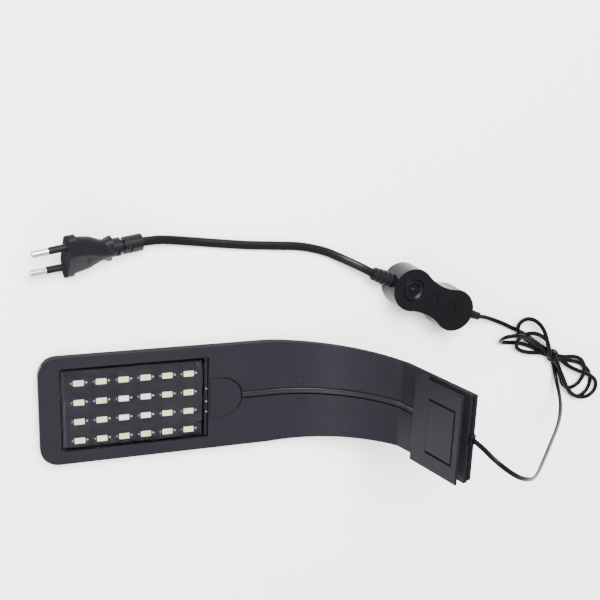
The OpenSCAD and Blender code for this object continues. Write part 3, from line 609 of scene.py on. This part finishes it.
def make_arm_lead(mats):
    """The twin lead in the arm's channel, which dives into the clip and comes out at its end."""
    width, top_gap = 3.5, 0.15
    start, dive, inside = COVER_X + COVER_LEN + 2, S_PLATE - 1, S_PLATE + 4
    dive_l = 4.5
    shallow = top_gap + LEAD_T / 2
    line = [(start + (dive - start) * k / 60, shallow) for k in range(61)]
    line += [(dive + dive_l * t, shallow + (LEAD_DEPTH - shallow) * (3 * t ** 2 - 2 * t ** 3))
             for t in (k / 12 for k in range(1, 13))]
    line += [(inside + (S_END + 2 - inside) * k / 12, LEAD_DEPTH) for k in range(13)]
    points = [Vector((x, 0, z)) for x, z in (at(s, d) for s, d in line)]
    o = swept("arm_lead_twin", points, twin_profile(width, LEAD_T, groove=0.85, n=32))
    # the lead in the arm takes the lighter painted-highlight copy of its finish
    return placed_piece(o, mats["core"], "lamp", "arm_lead")


def round_the_strands(p, heading):
    """The side of the tie's wire, which lies along the strands."""
    return (ALONG - heading * ALONG.dot(heading)).normalized()


def make_tie(mats):
    """A soft wire wrapped twice round the folded lead, with its ends twisted together."""
    wire_r, turns, steps = 0.62, 2, 40
    half_w, half_h, middle_z, half_l = 3.7, 3.45, 4.1, 0.85
    squareness, start = 3.2, -0.6
    line = []
    for k in range(turns * steps + 1):
        a = 2 * math.pi * k / steps + start
        ca, sa = math.cos(a), math.sin(a)
        flat = 1 / (abs(ca) ** squareness + abs(sa) ** squareness) ** (1 / squareness)
        line.append(TIE + ALONG * (half_l * (2 * k / (turns * steps) - 1)) + ACROSS * (half_w * flat * ca)
                    + Vector((0, 0, middle_z + half_h * flat * sa)))
    tail = ACROSS * 0.5 + ALONG * 0.3 + Vector((0, 0, 0.25))
    line += [line[-1] + tail, line[-1] + 2 * tail]
    o = swept("wire_tie", line, circle(wire_r, 12), round_the_strands)
    return placed_piece(o, mats["lead"], "lamp", "hank_tie")


def make_lens(mats):
    """The clear lens, with a sloping edge all round."""
    x0, x1 = RECESS_X + CLEAR, RECESS_X + CLEAR + LENS_L
    y0, y1 = RECESS_Y - RECESS_W / 2 + CLEAR, RECESS_Y + RECESS_W / 2 - CLEAR
    edge = [(0.1, 0), (0, 0.1), (0, 0.35), (0.1, 0.45), (1.7, 0.95), (1.85, LENS_T)]
    bm = bmesh.new()
    loops = []
    for inset, rise in edge:
        xs, ys, z = (x0 + inset, x1 - inset), (y0 + inset, y1 - inset), LENS_Z + rise
        corners = ((xs[0], ys[0], z), (xs[1], ys[0], z), (xs[1], ys[1], z), (xs[0], ys[1], z))
        loops.append([bm.verts.new(model(c)) for c in corners])
    skin(bm, loops)
    return placed_piece(from_bmesh("lens_clear", bm, 10), mats["lens"], "lamp", "lens")


def make_plug_ribs(mats):
    """Six short grip ribs on each broad face of the plug, which follow its narrowing body."""
    first, step, width, proud, sunk = 10.6, 1.45, 0.6, 0.28, 0.9
    bm = bmesh.new()
    for k in range(6):
        x = first + step * k
        far_y = -3.4 + 0.35 * k
        top = 6.1 - 0.13 * (x - 9)
        for side in (-1, 1):
            lo, hi = sorted((side * (top - sunk), side * (top + proud)))
            box_part(bm, (x, far_y, lo), (x + width, 2.4, hi), on_plug)
    o = from_bmesh("plug_ribs", bm, 30)
    bevel = o.modifiers.new("edge", "BEVEL")
    bevel.width = 0.15 * MM
    bevel.segments = 2
    bevel.limit_method = "ANGLE"
    bevel.angle_limit = math.radians(30)
    return added_piece(o, mats["pvc"])


# ---------------------------------------------------------------- which faces take which finish
HINGE_X, HINGE_Z = at(S_HINGE, -GLASS_GAP - HINGE_R)
HINGE = model((HINGE_X, 0, HINGE_Z)).xz
HINGE_ZONE = 2.2 * MM
CLIP_ALONG = Vector((math.cos(math.radians(CLIP_A)), 0, math.sin(math.radians(CLIP_A))))
END_ZONE_X = model((LAMP_X, 0, 0)).x - 13 * MM


def at_hinge(p):
    """Whether a point lies close to the tongue's hinge line, seen from the side."""
    return (p.xz - HINGE).length < HINGE_ZONE


def upright(normal, middle):
    """Whether a face is on the case's sides, not on its top."""
    return abs(normal.z) < 0.5


def edge_or_end(normal, middle):
    """Whether a face is on the long edges of the lamp or on the clip's open end, which take the darker
    painted-shade copy of the housing finish.
    """
    return abs(normal.y) > 0.6 or (middle.x > END_ZONE_X and normal.dot(CLIP_ALONG) > 0.85)


def plug_face(normal, middle):
    """Whether a face looks out past the plug's pins."""
    return normal.dot(PLUG_TURN @ Vector((1, 0, 0))) < -0.9


# how far the edges of each moulding are rounded, in mm
ROUNDING = {
    "front_cover": 0.6, "back_shell": 0.8, "wire_cover": 0.55, "clip_wall": 0.3, "clip_plate": 0.3,
    "pressure_tongue": 0.3, "switch_base": 0.6, "switch_lid": 0.9, "plug_body": 0.5, "plug_relief": 0.5,
    "ac_relief": 0.15, "dc_relief": 0.12, "button_collar": 0.25}


def make_mouldings(mats):
    """Every moulding whose edges show, with those edges rounded."""
    # the long side walls and the clip's end take the painted-shade copy of the housing finish
    edge = {"side_mat": mats["edge"], "is_side": edge_or_end}
    special = {
        "front_cover": edge, "back_shell": edge, "clip_wall": edge,
        "clip_plate": {"crisp": at_hinge, **edge},
        "pressure_tongue": {"crisp": at_hinge, "body": "tongue"},
        "switch_lid": {"side_mat": mats["switch"], "is_side": upright},
        "plug_body": {"angle": 55, "side_mat": mats["face"], "is_side": plug_face}}
    for node, width in ROUNDING.items():
        softened(node, mats[NODE_MATERIAL[node]], width, **special.get(node, {}))


# ---------------------------------------------------------------- floor and light
def make_floor():
    """A white floor, just under the lamp."""
    bm = bmesh.new()
    bmesh.ops.create_grid(bm, x_segments=4, y_segments=4, size=3)
    floor = from_bmesh("floor", bm, 30)
    floor.location = (0, 0, -0.0004)
    set_material(floor, surface("white_sweep", grey(0.97), 0.9, 0.0, 200, 0.0, 0.01, 0.05))


def make_world():
    """Even white light from all round."""
    world = bpy.data.worlds.new("studio")
    world.use_nodes = True
    background = world.node_tree.nodes["Background"]
    background.inputs["Color"].default_value = (1, 1, 1, 1)
    background.inputs["Strength"].default_value = 1.5
    bpy.context.scene.world = world


LIT_POINT = Vector((0.05, 0.03, 0))


def make_light(name, place, size, power):
    """A square area light at place, in metres, that faces LIT_POINT."""
    light = bpy.data.lights.new(name, "AREA")
    light.shape = "RECTANGLE"
    light.size = light.size_y = size
    light.energy = power
    o = bpy.data.objects.new(name, light)
    bpy.context.scene.collection.objects.link(o)
    o.location = place
    o.rotation_mode = "QUATERNION"
    o.rotation_quaternion = (LIT_POINT - Vector(place)).to_track_quat("-Z", "Y")


# ---------------------------------------------------------------- the scene
make_camera()
materials = make_materials()
lead, lead_line, mains, mains_line = make_cords(materials)
for node_name, key in NODE_MATERIAL.items():
    set_material(NODES[node_name], materials[key])
make_mouldings(materials)
make_button(materials)
make_spring(materials)
make_arm_lead(materials)
# the black bead round the wire cover is painted shade for the gap's shadow
make_cover_shadow_bead(materials)
tie = make_tie(materials)
make_lens(materials)
ribs = make_plug_ribs(materials)
make_floor()
make_world()
make_light("key", (-0.1, 0.75, 1.25), 0.8, 75)
make_light("sheen", (-0.62, -0.4, 1.05), 0.5, 7)
